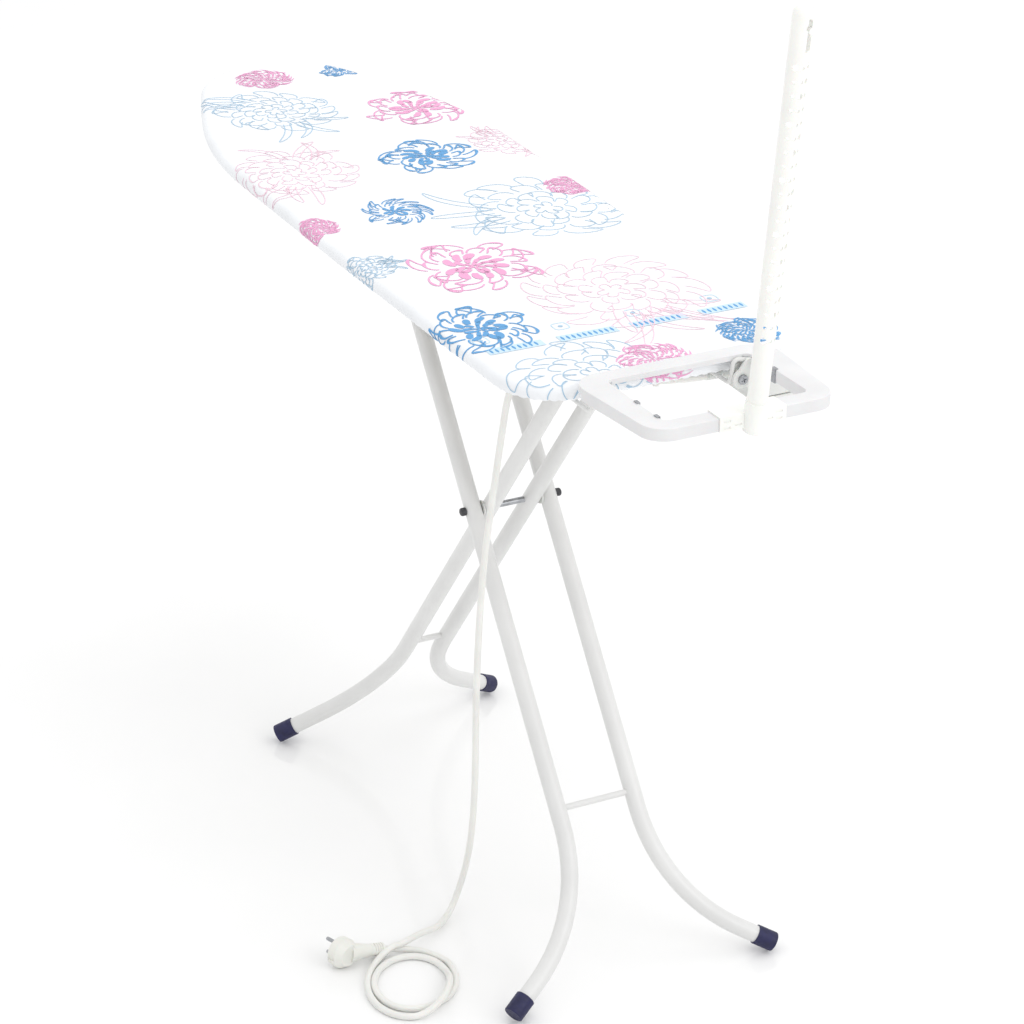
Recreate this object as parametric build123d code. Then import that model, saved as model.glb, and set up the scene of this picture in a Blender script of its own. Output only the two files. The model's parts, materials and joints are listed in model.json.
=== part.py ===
from build123d import *
import math
import os

os.makedirs("parts", exist_ok=True)

# Millimetres, +Z up, floor at Z = 0. Shapes are drawn from the middle of the board, the iron rest
# towards +X and the nose towards -X, and save() moves them so that the row's origin is on the floor
# under the middle of the whole object.
BOARD_CENTRE_X = -121.8

# Board
TOP_Z = 841.0
BOARD_HALF_LENGTH = 600.0
BOARD_HALF_WIDTH = 193.4
NOSE_HALF_WIDTH = 83.3
FLANK_X = -319.0
WAIST_X = 110.0
END_HALF_WIDTH = 185.8
NOSE_RADIUS = 121.0
FLANK_RADIUS = 640.0
WAIST_RADIUS = 4000.0
END_RADIUS = 78.0
RIM_HEIGHT = 22.0
RIM_ROUND = 10.9
COVER_SKIN = 1.0
COVER_LIP = 22.0
TUBE_INSET = 11.0
FRAME_TUBE_R = 8.0
FRAME_WALL = 1.2
FRAME_Z = TOP_Z - 12.0
MESH_INSET = 18.5
MESH_THICK = 1.4
MESH_BOTTOM = TOP_Z - 10.2
PAD_INSET = 8.0
PAD_TOP = TOP_Z - 1.1
PAD_OVER_TUBE = FRAME_Z + FRAME_TUBE_R + 0.1

# Folding legs: an isosceles scissor between the hinge rod and the sliding rod
LEG_ANGLE = 37.83
PIVOT_X = 209.1
PIVOT_Z = 502.4
UPPER_ARM = 373.0
LEG_R = 11.0
LEG_WALL = 1.2
TOP_OVERRUN = 14.0
STRAIGHT_BELOW = 413.5
OUTER_Y = 53.1
INNER_Y = 29.1
OUTER_FLARE = (220.0, 54.2, 50.0)
INNER_FLARE = (209.5, 53.2, 67.5)
CROSS_ROD_DROP = 392.0
ROD_R = 4.0
RUNNING_GAP = 0.05
FIXED_GAP = 0.02
CAP_R = 12.6
CAP_LENGTH = 27.0
CAP_END_WALL = 4.0

SIN_LEG = math.sin(math.radians(LEG_ANGLE))
COS_LEG = math.cos(math.radians(LEG_ANGLE))
HINGE_X = PIVOT_X + UPPER_ARM * SIN_LEG
SLIDER_X = PIVOT_X - UPPER_ARM * SIN_LEG
ROD_Z = PIVOT_Z + UPPER_ARM * COS_LEG

# Steelwork under the board
BAR_WIDTH = 40.0
BAR_INSET = 22.6
SHEET = 2.0
BAR_TOP = MESH_BOTTOM
BAR_BOTTOM = TOP_Z - 25.0
EAR_GAP = 0.6
EAR_THICK = 2.5
RACK_Y = 68.0
RACK_DEPTH = 30.0
RACK_FLANGE = 16.0
RACK_X = (-365.0, 95.0)
SLOT_X = (-313.0, 51.0)
SLOT_HALF = 4.5
NOTCH_PITCH = 34.0
LATCH_Y = 72.0
LATCH_PIVOT = (100.0, 804.0)
HANDLE_X = 160.0
HANDLE_Z = 808.0

# Iron rest
REST_TOP_Z = 848.4
REST_TILT = 1.62
REST_REAR_X = 592.0
REST_FRONT_X = 772.0
REST_REAR_HALF = 130.5
REST_FRONT_HALF = 117.0
REST_DEPTH = 15.0
REST_WALL = 2.5
REST_PLATE = 3.0
REST_REAR_PLATE = 7.0
OPENING_X = (616.5, 748.0)
OPENING_HALF = 92.0
STAY_R = 2.6
CLIP_HALF = 4.0
CLIP_PLACES = [(690, -1), (735, -1), (640, 1), (674, 1)]
CLIP_SHEET = 1.2

# Flex mast
MAST_FOOT = (773.1, 8.0, 834.0)
MAST_LEAN = 6.9
MAST_R = 11.6
MAST_WALL = 2.0
MAST_LENGTH = 501.5
HOLE_START = 115.0
HOLE_PITCH = 16.0
HOLE_ROWS = 21
WIDE_HOLE_R = 3.7
SMALL_HOLE_R = 2.1
COLLAR_R = 13.2
COLLAR_HEIGHT = 36.0

# Socket housing
HOUSING_X = (558.0, 627.0)
HOUSING_Y = (98.0, 158.0)
HOUSING_Z = (788.0, 816.0)
OUTLET_XY = (590.0, 128.0)
SCREW_Z = 821.5
GLAND_Z = 806.7

# Mains lead
CORD_R = 4.25
COIL_CENTRE = (461.0, -260.0)
COIL_OUTER = (75.0, 55.0)
COIL_INNER = (56.0, 44.0)
COIL_TURN = -27.3
COIL_HEIGHT = 17.0
PLUG_CENTRE = (386.0, -318.5, 19.5)
PLUG_PINS = (-0.93, -0.36, 0.0)
PLUG_R = 19.5
PLUG_THICK = 21.0
NECK_LENGTH = 37.0
SLEEVE_R = 8.3
NECK_END = (384.5, -264.0, 9.6)


def save(name, shape):
    export_step(Pos(BOARD_CENTRE_X, 0, 0) * shape, f"parts/{name}.step")


def group(shapes):
    return Compound(children=list(shapes))


def upright(radius, height):
    return Cylinder(radius, height, align=(Align.CENTER, Align.CENTER, Align.MIN))


def rod_y(radius, y_from, y_to, x, z):
    turned = Rot(-90, 0, 0) * upright(radius, y_to - y_from)
    return Pos(x, y_from, z) * turned


def rod_x(radius, x_from, x_to, y, z):
    turned = Rot(0, 90, 0) * upright(radius, x_to - x_from)
    return Pos(x_from, y, z) * turned


def block(x_range, y_range, z_range):
    size = [high - low for low, high in (x_range, y_range, z_range)]
    centre = [(high + low) / 2 for low, high in (x_range, y_range, z_range)]
    return Pos(*centre) * Box(*size)


def plate_xz(points, y_from, y_to):
    face = make_face(Polyline(*[(x, y_from, z) for x, z in points], close=True))
    return extrude(face, amount=y_to - y_from, dir=(0, 1, 0))


def plate_yz(points, x_from, x_to):
    face = make_face(Polyline(*[(x_from, y, z) for y, z in points], close=True))
    return extrude(face, amount=x_to - x_from, dir=(1, 0, 0))


def swept_rod(points, radius, bends, bore=0.0):
    path = FilletPolyline(*points, radius=bends)
    ring = Circle(radius) - Circle(bore) if bore else Circle(radius)
    section = Plane(origin=path @ 0, z_dir=path % 0) * ring
    return sweep(section, path=path)


def mirror_y(shape):
    return mirror(shape, about=Plane.XZ)


# Board --------------------------------------------------------------------------------------


def board_corners():
    near = [
        (-BOARD_HALF_LENGTH, -NOSE_HALF_WIDTH),
        (FLANK_X, -BOARD_HALF_WIDTH),
        (WAIST_X, -BOARD_HALF_WIDTH),
        (BOARD_HALF_LENGTH, -END_HALF_WIDTH),
    ]
    return near + [(x, -y) for x, y in reversed(near)]


def board_radii():
    near = [NOSE_RADIUS, FLANK_RADIUS, WAIST_RADIUS, END_RADIUS]
    return near + near[::-1]


def board_face(inset):
    outline = FilletPolyline(*board_corners(), radius=board_radii(), close=True)
    face = make_face(outline)
    return offset(face, -inset) if inset else face


def slab(inset, bottom, top):
    return Pos(0, 0, bottom) * extrude(board_face(inset), amount=top - bottom)


def rounded_slab(inset, bottom, top, radius):
    solid = slab(inset, bottom, top)
    rims = [edge for edge in solid.edges() if abs(edge.bounding_box().size.Z) < 1e-6]
    return fillet(rims, radius)


def frame_tube():
    path = offset(board_face(0), -TUBE_INSET).wire()
    ring = Circle(FRAME_TUBE_R) - Circle(FRAME_TUBE_R - FRAME_WALL)
    tube = sweep(Plane(origin=path @ 0, z_dir=path % 0) * ring, path=path)
    joint = block((BOARD_HALF_LENGTH - 30, BOARD_HALF_LENGTH), (-0.25, 0.25), (-20, 20))
    return Pos(0, 0, FRAME_Z) * (tube - joint)


def frame_joiner():
    radius = FRAME_TUBE_R - FRAME_WALL - FIXED_GAP
    return rod_y(radius, -30, 30, BOARD_HALF_LENGTH - TUBE_INSET, FRAME_Z)


def mesh_panel():
    panel = slab(MESH_INSET, MESH_BOTTOM, MESH_BOTTOM + MESH_THICK)
    vents = [
        Pos(x, y, MESH_BOTTOM) * Cylinder(6, 4 * MESH_THICK)
        for x in range(-480, 541, 60)
        for y in (-120, -60, 0, 60, 120)
        if abs(y) < 90 or -380 < x < 500
    ]
    return panel - vents


def pad():
    over = slab(PAD_INSET, PAD_OVER_TUBE, PAD_TOP)
    rim = over.faces().sort_by(Axis.Z)[-1].edges()
    over = fillet(rim, 2.4)
    under = slab(TUBE_INSET + FRAME_TUBE_R + 1.0, MESH_BOTTOM + MESH_THICK, PAD_OVER_TUBE)
    return over + under


def cover():
    bottom = TOP_Z - RIM_HEIGHT
    outer = rounded_slab(0, bottom, TOP_Z, RIM_ROUND)
    hollow = rounded_slab(COVER_SKIN, bottom + COVER_SKIN, TOP_Z - COVER_SKIN, RIM_ROUND - COVER_SKIN)
    mouth = slab(COVER_LIP, bottom - 1, bottom + 2 * COVER_SKIN)
    return outer - hollow - mouth


# Under the board ----------------------------------------------------------------------------


def crossbar(x):
    sides = (x - BAR_WIDTH / 2, x + BAR_WIDTH / 2)
    across = (-BOARD_HALF_WIDTH, BOARD_HALF_WIDTH)
    solid = block(sides, across, (BAR_BOTTOM, BAR_TOP)) & slab(BAR_INSET, BAR_BOTTOM, BAR_TOP)
    return solid - block((sides[0] + SHEET, sides[1] - SHEET), across, (BAR_BOTTOM - 1, BAR_TOP - SHEET))


def hinge_ear(side):
    inner = INNER_Y + LEG_R + EAR_GAP
    bar_edge = BAR_WIDTH / 2 - SHEET
    top = BAR_TOP - SHEET
    outline = [
        (HINGE_X - bar_edge, top),
        (HINGE_X + bar_edge, top),
        (HINGE_X + bar_edge, BAR_BOTTOM),
        (HINGE_X + 12, ROD_Z),
        (HINGE_X - 12, ROD_Z),
        (HINGE_X - bar_edge, BAR_BOTTOM),
    ]
    ear = plate_xz(outline, inner, inner + EAR_THICK)
    ear = ear + rod_y(12, inner, inner + EAR_THICK, HINGE_X, ROD_Z)
    ear = ear - rod_y(ROD_R + FIXED_GAP, inner - 1, inner + EAR_THICK + 1, HINGE_X, ROD_Z)
    return ear if side > 0 else mirror_y(ear)


def headed_rod(x, z, half_length, head_radius, head_length):
    rod = rod_y(ROD_R, -half_length, half_length, x, z)
    for side in (-1, 1):
        edge = side * half_length
        low, high = sorted((edge, edge - side * head_length))
        rod = rod + rod_y(head_radius, low, high, x, z)
    return rod


def rack(side):
    top = BAR_BOTTOM
    web = block(RACK_X, (RACK_Y, RACK_Y + SHEET), (top - RACK_DEPTH, top))
    flange = block(RACK_X, (RACK_Y, RACK_Y + RACK_FLANGE), (top - SHEET, top))
    slot = block(SLOT_X, (RACK_Y - 1, RACK_Y + SHEET + 1), (ROD_Z - SLOT_HALF, ROD_Z + SLOT_HALF))
    solid = web + flange - slot
    for step in range(-1, 5):
        x = SLIDER_X - step * NOTCH_PITCH
        solid = solid - rod_y(SLOT_HALF, RACK_Y - 1, RACK_Y + SHEET + 1, x, ROD_Z + 3)
    solid = solid - rod_y(3 + FIXED_GAP, RACK_Y - 1, RACK_Y + SHEET + 1, *LATCH_PIVOT)
    return solid if side > 0 else mirror_y(solid)


def latch_plate(side):
    x, z = LATCH_PIVOT
    tips = ROD_Z - ROD_R - 0.6
    teeth = []
    for step in range(-1, 3):
        middle = SLIDER_X - step * NOTCH_PITCH
        teeth += [(middle + 7, tips), (middle + 5, tips - 4), (middle - 5, tips - 4), (middle - 7, tips)]
    outline = teeth + [
        (SLIDER_X - 3 * NOTCH_PITCH, tips - 2),
        (SLIDER_X - 3 * NOTCH_PITCH, tips - 12),
        (40, tips - 12),
        (x, z - 9),
        (HANDLE_X + 6, HANDLE_Z - 6),
        (HANDLE_X + 6, HANDLE_Z + 5),
        (x, z + 7),
        (72, z - 2),
        (54, tips - 2),
    ]
    plate = plate_xz(outline, LATCH_Y, LATCH_Y + SHEET)
    plate = plate - rod_y(3 + RUNNING_GAP, LATCH_Y - 1, LATCH_Y + SHEET + 1, x, z)
    plate = plate - rod_y(3 + FIXED_GAP, LATCH_Y - 1, LATCH_Y + SHEET + 1, HANDLE_X, HANDLE_Z)
    return plate if side > 0 else mirror_y(plate)


def latch_pin(side):
    x, z = LATCH_PIVOT
    pin = rod_y(3, RACK_Y, 79, x, z) + rod_y(5.5, 79, 81, x, z)
    return pin if side > 0 else mirror_y(pin)


def latch_spring(side):
    x, z = LATCH_PIVOT
    first = LATCH_Y + SHEET + 0.7
    turns = [Pos(x, first + 1.05 * turn, z) * Rot(90, 0, 0) * Torus(4.4, 0.5) for turn in range(4)]
    coil = rod_y(5.0, first - 0.4, first + 3.6, x, z) - rod_y(3.5, first - 1, first + 4, x, z)
    for turn in turns:
        coil = coil + turn
    return coil if side > 0 else mirror_y(coil)


def lever_grip():
    grip = rod_y(7.5, 98, 166, HANDLE_X, HANDLE_Z)
    grip = fillet(grip.edges(), 2.5)
    return grip - rod_y(3 + FIXED_GAP, 90, 162, HANDLE_X, HANDLE_Z)


# Legs ---------------------------------------------------------------------------------------


def leg_route(side, flare):
    radius, angle, end_run = flare
    tangent = radius * math.tan(math.radians(angle / 2))
    corner = -(STRAIGHT_BELOW + tangent)
    reach = tangent + end_run
    out = side * math.sin(math.radians(angle))
    down = -math.cos(math.radians(angle))
    end = (0, reach * out, corner + reach * down)
    return [(0, 0, UPPER_ARM + TOP_OVERRUN), (0, 0, corner), end], (0, out, down)


def place_leg(shape, lean, y):
    return Pos(PIVOT_X, y, PIVOT_Z) * Rot(0, lean, 0) * shape


def leg_tube(side, flare, lean, y, pivot_gap, top_gap):
    points, heading = leg_route(side, flare)
    end = Vector(*points[2]) - Vector(*heading) * (CAP_END_WALL + 0.1)
    tube = swept_rod([points[0], points[1], end], LEG_R, [flare[0]], bore=LEG_R - LEG_WALL)
    for height, gap in ((UPPER_ARM, top_gap), (0, pivot_gap)):
        tube = tube - rod_y(ROD_R + gap, -LEG_R - 1, LEG_R + 1, 0, height)
    inner_wall = sorted((0, -side * (LEG_R + 1)))
    tube = tube - rod_y(ROD_R + FIXED_GAP, *inner_wall, 0, -CROSS_ROD_DROP)
    return place_leg(tube, lean, y)


def foot_cap(side, flare, lean, y):
    points, heading = leg_route(side, flare)
    along = Plane(origin=points[2], z_dir=Vector(*heading) * -1)
    shell = upright(CAP_R, CAP_LENGTH)
    shell = along * fillet(shell.edges().sort_by(Axis.Z)[0], 1.5)
    bore = along * Pos(0, 0, CAP_END_WALL) * upright(LEG_R + FIXED_GAP, CAP_LENGTH)
    cap = place_leg(shell - bore, lean, y)
    ground = block((-2000, 2000), (-1000, 1000), (-100, 0))
    return cap - ground


def cross_rod(lean, y):
    return place_leg(rod_y(ROD_R, -y, y, 0, -CROSS_ROD_DROP), lean, 0)


def pivot_washer(side):
    low = INNER_Y + LEG_R + RUNNING_GAP
    high = OUTER_Y - LEG_R - RUNNING_GAP
    washer = rod_y(10, low, high, PIVOT_X, PIVOT_Z)
    washer = washer - rod_y(ROD_R + RUNNING_GAP, low - 1, high + 1, PIVOT_X, PIVOT_Z)
    return washer if side > 0 else mirror_y(washer)


def pivot_cap(side):
    low = OUTER_Y + LEG_R + 0.2
    cap = rod_y(5.3, low, low + 6.8, PIVOT_X, PIVOT_Z)
    cap = fillet(cap.edges().sort_by(Axis.Y)[-1], 2.4)
    cap = cap - rod_y(ROD_R + FIXED_GAP, low - 1, low + 4.9, PIVOT_X, PIVOT_Z)
    return cap if side > 0 else mirror_y(cap)


# Iron rest ----------------------------------------------------------------------------------


def tilt_rest(shape):
    return Pos(BOARD_HALF_LENGTH, 0, REST_TOP_Z) * Rot(0, -REST_TILT, 0) * shape


def rest_outline(inset):
    rear = REST_REAR_X - BOARD_HALF_LENGTH
    front = REST_FRONT_X - BOARD_HALF_LENGTH
    near = [(rear, -REST_REAR_HALF), (front, -REST_FRONT_HALF)]
    corners = near + [(x, -y) for x, y in reversed(near)]
    face = make_face(FilletPolyline(*corners, radius=[36, 30, 30, 36], close=True))
    return offset(face, -inset) if inset else face


def rest_opening(grow):
    low, high = (edge - BOARD_HALF_LENGTH for edge in OPENING_X)
    near = [(low, -OPENING_HALF), (high, -OPENING_HALF)]
    face = make_face(FilletPolyline(*near, *[(x, -y) for x, y in reversed(near)], radius=9, close=True))
    return offset(face, grow) if grow else face


def down(face, top, bottom):
    return Pos(0, 0, bottom) * extrude(face, amount=top - bottom)


def mast_axis(shape):
    return Pos(*MAST_FOOT) * Rot(0, MAST_LEAN, 0) * shape


def rest_ring():
    ring = down(rest_outline(0), 0, -REST_DEPTH) - down(rest_opening(0), 1, -REST_DEPTH - 1)
    ring = fillet(ring.faces().sort_by(Axis.Z)[-1].edges(), 1.2)
    trough = down(rest_outline(REST_WALL), -REST_PLATE, -REST_DEPTH - 1)
    trough = trough - down(rest_opening(REST_WALL), 1, -REST_DEPTH - 2)
    rear_front = OPENING_X[0] - BOARD_HALF_LENGTH
    behind = block((-30, rear_front + 8), (-200, 200), (-30, -REST_REAR_PLATE))
    trough = trough - block((-30, rear_front + 10.5), (-200, 200), (-30, 5))
    ring = ring - trough - behind
    ring = tilt_rest(ring)
    passage = [stay_passage(side) for side in (-1, 1)]
    collar_room = mast_axis(Pos(0, 0, -30) * upright(COLLAR_R + 0.5, 120))
    return ring - passage - collar_room


def stay_points():
    return [
        (536, 66, 813.6),
        (619.6, 69, 815),
        (619.6, 71, 845.5),
        (619.6, 100, 839),
        (652, 108, 838.5),
        (756.5, 101.5, 841.5),
        (756.5, -101.5, 841.5),
        (636, -112, 838),
        (618, -112, 814.5),
        (538, -112, 813.6),
    ]


def rest_stay():
    return swept_rod(stay_points(), STAY_R, [9, 7, 9, 12, 18, 18, 12, 9])


def stay_passage(side):
    return block((611, 645), sorted((side * 84, side * 117)), (831, 845.2))


def rest_clip(x, side):
    low, high = x - BOARD_HALF_LENGTH - CLIP_HALF, x - BOARD_HALF_LENGTH + CLIP_HALF
    face = OPENING_HALF - 0.05
    behind = OPENING_HALF + REST_WALL + 0.05
    under = -REST_DEPTH - 0.05
    tab = block((low, high), (face - CLIP_SHEET, face), (under - CLIP_SHEET, -4))
    tab = tab + block((low, high), (face - CLIP_SHEET, behind + CLIP_SHEET), (under - CLIP_SHEET, under))
    tab = tab + block((low, high), (behind, behind + CLIP_SHEET), (under - CLIP_SHEET, -7))
    tab = tab + block((low, high), (face - CLIP_SHEET, face), (-4, 0.15 + CLIP_SHEET))
    tab = tab + block((low, high), (face - CLIP_SHEET, face + 3), (0.15, 0.15 + CLIP_SHEET))
    tab = tilt_rest(tab)
    return tab if side > 0 else mirror_y(tab)


def mast_clamp():
    y_low, y_high = -36.0, 48.0
    front = REST_FRONT_X - BOARD_HALF_LENGTH
    rear = OPENING_X[1] - BOARD_HALF_LENGTH
    shell = block((rear - 1.8, front + 1.9), (y_low, y_high), (-REST_DEPTH - 1, 1.7))
    inside = block((rear - 0.1, front + 0.1), (y_low - 1, y_high + 1), (-REST_DEPTH - 2, 0.1))
    shell = tilt_rest(shell - inside)
    collar = upright(COLLAR_R, COLLAR_HEIGHT + 3)
    collar = fillet(collar.edges().sort_by(Axis.Z)[0], 3)
    collar = mast_axis(Pos(0, 0, -3) * collar)
    bore = upright(MAST_R + RUNNING_GAP, 200)
    clamp = shell + collar - mast_axis(bore)
    for y, z in ((-27, -4), (-27, -12), (-13, -10), (39, -4), (39, -12), (27, -10)):
        slot = tilt_rest(block((front + 0.9, front + 3), (y - 4.2, y + 4.2), (z - 1.2, z + 1.2)))
        clamp = clamp - slot
    return clamp


def flex_mast():
    barrel = upright(MAST_R, MAST_LENGTH - MAST_R)
    barrel = barrel + Pos(0, 0, MAST_LENGTH - MAST_R) * Sphere(MAST_R)
    core_r = MAST_R - MAST_WALL
    core = upright(core_r, MAST_LENGTH - MAST_R + 1)
    core = core + Pos(0, 0, MAST_LENGTH - MAST_R) * Sphere(core_r)
    mast = barrel - Pos(0, 0, -1) * core
    back = block((-2 * MAST_R, -2), (-9, 2 * MAST_R), (COLLAR_HEIGHT + 60, MAST_LENGTH - 12))
    mast = mast - back
    for row in range(HOLE_ROWS):
        height = HOLE_START + row * HOLE_PITCH
        for turn, offset in ((-41, 0), (-2, 2), (37, 1)):
            bore_r = WIDE_HOLE_R if (row + offset) % 4 == 0 else SMALL_HOLE_R
            bore = upright(bore_r, 2 * MAST_R)
            mast = mast - Rot(0, 0, turn) * Pos(0, 0, height) * Rot(0, 90, 0) * bore
    slot_low, slot_high = MAST_LENGTH - 44.8, MAST_LENGTH - 16.8
    slot = block((-20, 20), (-3, 6), (slot_low, slot_high))
    slot = slot + rod_x(4.5, -20, 20, 1.5, slot_high) + rod_x(4.5, -20, 20, 1.5, slot_low)
    mouth = block((-20, 20), (5, 20), (slot_low + 11, slot_low + 15.5))
    mast = mast - slot - mouth
    nub = rod_x(3.4, 5.6, MAST_R, 5.6, slot_low + 19) & Cylinder(MAST_R, 3 * MAST_LENGTH)
    return mast_axis(mast + nub)


# Socket -------------------------------------------------------------------------------------


def housing_shell():
    x_low, x_high = HOUSING_X
    y_low, y_high = HOUSING_Y
    z_low, z_high = HOUSING_Z
    body = block((x_low, x_high), (y_low, y_high), (z_low + 4, z_high))
    body = fillet(body.edges().filter_by(Axis.X).group_by(Axis.Z)[0].sort_by(Axis.Y)[-1], 9)
    body = fillet(body.edges().filter_by(Axis.Z), 4)
    wall = 2.2
    hollow = block((x_low + wall, x_high - wall), (y_low + wall, y_high - wall), (z_low, z_high - wall))
    ear_outline = [(98.5, 805), (98.5, 831), (90.8, 845.5), (86.5, 845.5)]
    ear_outline += [(69.5, 825), (69.5, 815), (74, 811), (84, 811)]
    ear = plate_yz(ear_outline, x_high - 4, x_high)
    ear = ear + rod_x(11.5, x_high - 4, x_high, 80, SCREW_Z)
    shell = body + ear - hollow
    shell = shell - rod_x(2.6, x_high - 5, x_high + 1, 80, SCREW_Z)
    return shell - rod_y(5.5 + FIXED_GAP, y_low - 1, y_low + 3, 573, GLAND_Z)


def housing_lid():
    x_low, x_high = HOUSING_X
    y_low, y_high = HOUSING_Y
    z_low = HOUSING_Z[0]
    x, y = OUTLET_XY
    lid = block((x_low, x_high), (y_low, y_high), (z_low, z_low + 3.9))
    lid = fillet(lid.edges().filter_by(Axis.Z), 4)
    mouth = Pos(x, y, z_low - 1) * upright(21.6, 8)
    for dx in (-27, 31):
        for dy in (-24, 24):
            mouth = mouth + Pos(x + dx, y + dy, z_low - 1) * upright(1.6, 8)
    return lid - mouth


def outlet_insert():
    x, y = OUTLET_XY
    z_low = HOUSING_Z[0]
    cup = Pos(x, y, z_low) * upright(21.5, 20.5)
    recess = Pos(x, y, z_low - 1) * upright(19.3, 18.5)
    cup = cup - recess
    for side in (-1, 1):
        cup = cup - Pos(x, y + side * 9.5, z_low) * upright(2.6, 30)
        cup = cup - block(sorted((x + side * 18.5, x + side * 22)), (y - 3, y + 3), (z_low - 1, z_low + 16))
    return cup


def earth_clip(side):
    x, y = OUTLET_XY
    z_low = HOUSING_Z[0]
    thick = sorted((x + side * 18.7, x + side * 19.5))
    return block(thick, (y - 2.4, y + 2.4), (z_low + 1.5, z_low + 15.5))


def contact_tube(side):
    x, y = OUTLET_XY
    z = HOUSING_Z[0] + 17.6
    tube = Pos(x, y + side * 9.5, z) * upright(2.55, 6.5)
    return tube - Pos(x, y + side * 9.5, z - 1) * upright(2.45 - 0.3, 5.5)


def lid_screw(dx, dy):
    x, y = OUTLET_XY
    z_low = HOUSING_Z[0]
    shank = Pos(x + dx, y + dy, z_low + 0.0) * upright(1.55, 12)
    head = Pos(x + dx, y + dy, z_low - 1.6) * upright(2.9, 1.6)
    return shank + head


def housing_clamp():
    plate = plate_yz([(73.5, 811), (92, 811), (92, 837), (73.5, 837)], 611.5, 616.5)
    boss = block((616.5, HOUSING_X[1] - 4), (75.5, 90), (813, 831))
    return plate + boss - rod_x(2.4, 600, HOUSING_X[1] + 1, 80, SCREW_Z)


def ear_screw():
    x_face = HOUSING_X[1]
    screw = rod_x(2.38, 612, x_face, 80, SCREW_Z) + fillet(
        rod_x(6, x_face, x_face + 3.4, 80, SCREW_Z).edges().sort_by(Axis.X)[-1], 1.5
    )
    for turn in (20, 110):
        cross = Pos(x_face + 3.4, 80, SCREW_Z) * Rot(turn, 0, 0) * Box(3.4, 6.4, 1.5)
        screw = screw - cross
    return screw


def cord_gland():
    body = rod_y(5.5, 86, HOUSING_Y[0] + 2.2, 573, GLAND_Z)
    return body + rod_y(7.5, HOUSING_Y[0] - 3.2, HOUSING_Y[0] - 0.02, 573, GLAND_Z)


def cord_clip(x, y, turn):
    ring = Cylinder(CORD_R + 2.2, 6) - Cylinder(CORD_R + 0.4, 8)
    ring = Rot(90, 0, 0) * ring
    post = block((-2, 2), (-3, 3), (CORD_R + 1.4, BAR_TOP - SHEET - GLAND_Z))
    return Pos(x, y, GLAND_Z) * Rot(0, 0, turn) * (ring + post)


# Mains lead ---------------------------------------------------------------------------------


def lead_points():
    return [
        (573, 86, GLAND_Z),
        (573, 60, GLAND_Z),
        (566, 24, GLAND_Z),
        (552, -14, GLAND_Z),
        (546, -62, GLAND_Z),
        (534, -104, GLAND_Z),
        (506, -128, GLAND_Z - 0.7),
        (476, -132.5, 799),
        (450, -129, 773),
        (436, -129, 720),
        (411, -128, 625),
        (388, -128, 525),
        (374, -127, 425),
        (368, -127, 325),
        (366, -126, 225),
        (360, -126, 145),
        (347, -127, 82),
        (336, -132, 39),
        (339, -144, 14),
        (350, -158, 7),
        (367, -181, 7),
        (378, -203, 14),
        (385, -222, 15),
        (391.5, -243, 14.2),
    ]


def tail_points():
    return [(409, -213, 4.3), (396, -226, 4.3), (388, -244, 6.0), (384.5, -264, 9.6)]


def lead_radii(points):
    radii = []
    for before, here, after in zip(points, points[1:], points[2:]):
        arrive = Vector(*here) - Vector(*before)
        leave = Vector(*after) - Vector(*here)
        turn = math.radians(arrive.get_angle(leave))
        radii.append(0.45 * min(arrive.length, leave.length) / math.tan(turn / 2))
    return radii


def lead_tube(name, points):
    radii = lead_radii(points)
    print(name, "radii", [round(radius, 1) for radius in radii])
    path = FilletPolyline(*points, radius=radii)
    section = Plane(origin=path @ 0, z_dir=path % 0) * Circle(CORD_R)
    tube = sweep(section, path=path)
    ideal = math.pi * CORD_R**2 * path.length
    share = round(tube.volume / ideal, 4)
    print(name, "length", round(path.length, 1), "volume over section times length", share)
    return tube


def lead_coil():
    x, y = COIL_CENTRE
    ring = extrude(Ellipse(*COIL_OUTER) - Ellipse(*COIL_INNER), amount=COIL_HEIGHT)
    return Pos(x, y, 0) * Rot(0, 0, COIL_TURN) * fillet(ring.edges(), 4)


def plug_frame():
    pins = Vector(*PLUG_PINS).normalized()
    return Plane(origin=PLUG_CENTRE, z_dir=pins, x_dir=Vector(-pins.Y, pins.X, 0) * -1)


def plug_body():
    disc = Cylinder(PLUG_R, PLUG_THICK)
    disc = chamfer(disc.edges().sort_by(Axis.Z)[0], 9, 6)
    disc = fillet(disc.edges().sort_by(Axis.Z)[-1], 1.5)
    for side in (-1, 1):
        disc = disc - Pos(side * (PLUG_R + 0.2), 0, 6) * Box(3.4, 5, PLUG_THICK - 6)
    centre = Vector(*PLUG_CENTRE)
    along = (Vector(*NECK_END) - centre).normalized()
    neck = loft(
        [
            Plane(origin=centre + along * 8, z_dir=along) * Circle(12.5),
            Plane(origin=centre + along * NECK_LENGTH, z_dir=along) * Circle(SLEEVE_R - 0.2),
        ]
    )
    return plug_frame() * disc + neck


def plug_sleeve():
    centre = Vector(*PLUG_CENTRE)
    reach = Vector(*NECK_END) - centre
    along = reach.normalized()
    length = reach.length - NECK_LENGTH - 0.05
    sleeve = upright(SLEEVE_R, length)
    sleeve = fillet(sleeve.edges().sort_by(Axis.Z)[-1], 1)
    for rib in range(4):
        groove = Cylinder(SLEEVE_R + 1, 1.3) - Cylinder(SLEEVE_R - 1, 2)
        groove = Pos(0, 0, length - 3.6 - 3.4 * rib) * groove
        sleeve = sleeve - (groove - Box(4, 20, 400))
    return Plane(origin=centre + along * (NECK_LENGTH + 0.05), z_dir=along) * sleeve


def plug_pin(side):
    face = PLUG_THICK / 2 + FIXED_GAP
    pin = Pos(0, side * 9.5, face) * upright(2.4, 19)
    pin = fillet(pin.edges().sort_by(Axis.Z)[-1], 1.6)
    return plug_frame() * pin


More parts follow.
